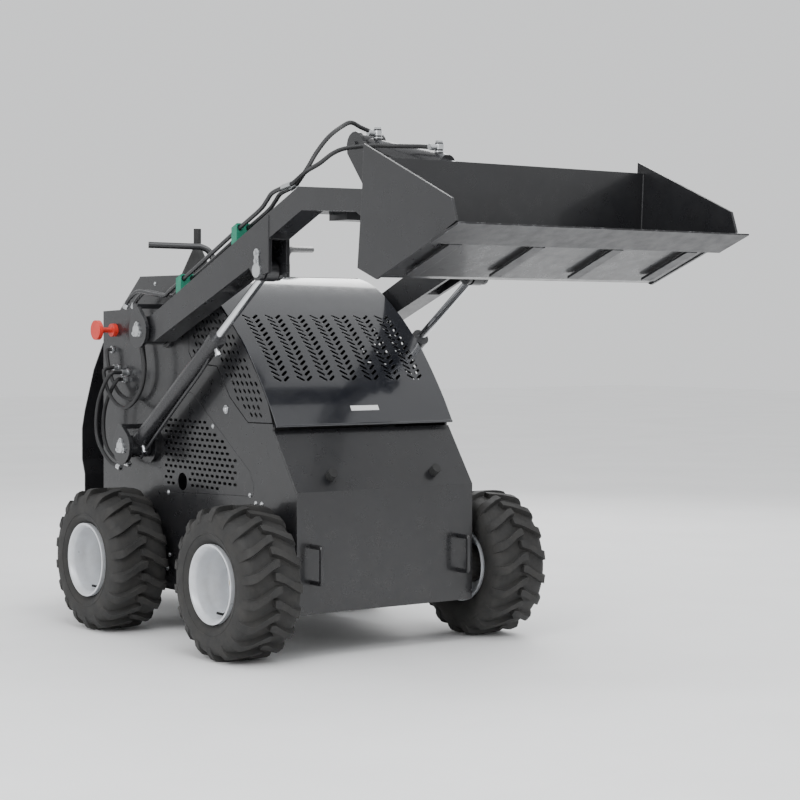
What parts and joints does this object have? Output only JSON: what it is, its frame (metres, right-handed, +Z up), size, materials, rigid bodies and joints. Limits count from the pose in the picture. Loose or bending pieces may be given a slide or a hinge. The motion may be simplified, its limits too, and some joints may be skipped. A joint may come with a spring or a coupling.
{
  "type": "skid steer loader",
  "caption": "Compact stand-on skid steer loader on wheels, with twin lift arms, a tilting bucket, a hinged hood and a rear operator platform.",
  "frame": {"origin": "centre of the bounding box at the ground, under the wheels", "axes": "+Z up, front of the machine towards -Y, its right-hand side towards -X"},
  "size_m": [1.121, 2.614, 1.6028],
  "materials": {
    "paint": "satin charcoal black",
    "hood": "gloss charcoal black",
    "tyre": "matte, dusty",
    "rim": "silver-white paint",
    "chrome": "polished rod",
    "rubber": "matte",
    "switch_red": "moulded red",
    "iron": "dark cast",
    "tank_steel": "satin black",
    "edge_steel": "dark, worn",
    "hose": "matte hose",
    "clamp_green": "moulded green"
  },
  "bodies": {
    "chassis": {"arm_bracket_L": "paint", "arm_bracket_R": "paint", "battery_switch": "switch_red", "belly_pan": "paint", "bumper_L": "rubber", "bumper_R": "rubber", "console_top": "paint", "engine": "iron", "frame_side_L": "paint", "frame_side_R": "paint", "front_handle_L": "paint", "front_handle_R": "paint", "front_panel": "paint", "grab_bar_L": "paint", "grab_bar_R": "paint", "hub_FL": "iron", "hub_FR": "iron", "hub_RL": "iron", "hub_RR": "iron", "hydraulic_tank": "tank_steel", "joystick_L": "rubber", "joystick_R": "rubber", "lift_bracket_L": "paint", "lift_bracket_R": "paint", "lift_hose_lower": "hose", "lift_hose_upper": "hose", "platform": "paint", "rear_guard": "paint", "side_door_L": "paint", "side_door_R": "paint", "supply_hose_inner": "hose", "supply_hose_outer": "hose", "vent_panel_L": "paint", "vent_panel_R": "paint"},
    "wheel_front_right": {"tyre_FR": "tyre", "rim_FR": "rim"},
    "wheel_front_left": {"tyre_FL": "tyre", "rim_FL": "rim"},
    "wheel_rear_right": {"tyre_RR": "tyre", "rim_RR": "rim"},
    "wheel_rear_left": {"tyre_RL": "tyre", "rim_RL": "rim"},
    "loader_arm": {"arm_R": "paint", "arm_L": "paint", "crossmember": "paint", "pipe_clamp_front": "clamp_green", "pipe_clamp_rear": "clamp_green", "tilt_line_front": "hose", "tilt_line_rear": "hose"},
    "lift_barrel_right": {"lift_barrel_R": "paint"},
    "lift_barrel_left": {"lift_barrel_L": "paint"},
    "lift_rod_right": {"lift_rod_R": "chrome"},
    "lift_rod_left": {"lift_rod_L": "chrome"},
    "tilt_barrel": {"tilt_barrel": "paint"},
    "tilt_rod": {"tilt_rod": "chrome"},
    "bucket": {"coupler": "paint", "bucket": "paint", "cutting_edge": "edge_steel"},
    "hood": {"hood": "hood"}
  },
  "joints": [
    {"name": "front_right_wheel_roll", "type": "hinge", "parent": "chassis", "child": "wheel_front_right", "pos_m": [-0.4605, -0.193, 0.2285], "axis": [1, 0, 0], "continuous": true},
    {"name": "front_left_wheel_roll", "type": "hinge", "parent": "chassis", "child": "wheel_front_left", "pos_m": [0.4605, -0.193, 0.2285], "axis": [1, 0, 0], "continuous": true},
    {"name": "rear_right_wheel_roll", "type": "hinge", "parent": "chassis", "child": "wheel_rear_right", "pos_m": [-0.4605, 0.581, 0.2285], "axis": [1, 0, 0], "continuous": true},
    {"name": "rear_left_wheel_roll", "type": "hinge", "parent": "chassis", "child": "wheel_rear_left", "pos_m": [0.4605, 0.581, 0.2285], "axis": [1, 0, 0], "continuous": true},
    {"name": "arm_lift", "type": "hinge", "parent": "chassis", "child": "loader_arm", "pos_m": [0, 0.439, 0.968], "axis": [-1, 0, 0], "range_deg": [-50, 24]},
    {"name": "bucket_tilt", "type": "hinge", "parent": "loader_arm", "child": "bucket", "pos_m": [0, -0.808, 1.25], "axis": [1, 0, 0], "range_deg": [-50, 65]},
    {"name": "lift_barrel_swing_right", "type": "hinge", "parent": "chassis", "child": "lift_barrel_right", "pos_m": [-0.3875, 0.547, 0.591], "axis": [-1, 0, 0], "range_deg": [-38, 19]},
    {"name": "lift_rod_slide_right", "type": "slide", "parent": "lift_barrel_right", "child": "lift_rod_right", "axis": [0, -0.8183, 0.5749], "range_m": [-0.26, 0.13]},
    {"name": "lift_barrel_swing_left", "type": "hinge", "parent": "chassis", "child": "lift_barrel_left", "pos_m": [0.3875, 0.547, 0.591], "axis": [-1, 0, 0], "range_deg": [-38, 19]},
    {"name": "lift_rod_slide_left", "type": "slide", "parent": "lift_barrel_left", "child": "lift_rod_left", "axis": [0, -0.8183, 0.5749], "range_m": [-0.26, 0.13]},
    {"name": "tilt_barrel_swing", "type": "hinge", "parent": "loader_arm", "child": "tilt_barrel", "pos_m": [0, -0.198, 1.535], "axis": [1, 0, 0], "range_deg": [-3, 3]},
    {"name": "tilt_rod_slide", "type": "slide", "parent": "tilt_barrel", "child": "tilt_rod", "axis": [0, -0.98, -0.1991], "range_m": [-0.13, 0.17]},
    {"name": "hood_hinge", "type": "hinge", "parent": "chassis", "child": "hood", "pos_m": [0, 0.302, 1.1415], "axis": [-1, 0, 0], "range_deg": [0, 38]}
  ],
  "couplings": [
    {"joint": "lift_barrel_swing_right", "follows": "arm_lift", "ratio": 0.74},
    {"joint": "lift_rod_slide_right", "follows": "arm_lift", "m_per_rad": 0.28},
    {"joint": "lift_barrel_swing_left", "follows": "arm_lift", "ratio": 0.74},
    {"joint": "lift_rod_slide_left", "follows": "arm_lift", "m_per_rad": 0.28},
    {"joint": "tilt_barrel_swing", "follows": "bucket_tilt", "ratio": -0.03},
    {"joint": "tilt_rod_slide", "follows": "bucket_tilt", "m_per_rad": 0.135}
  ]
}
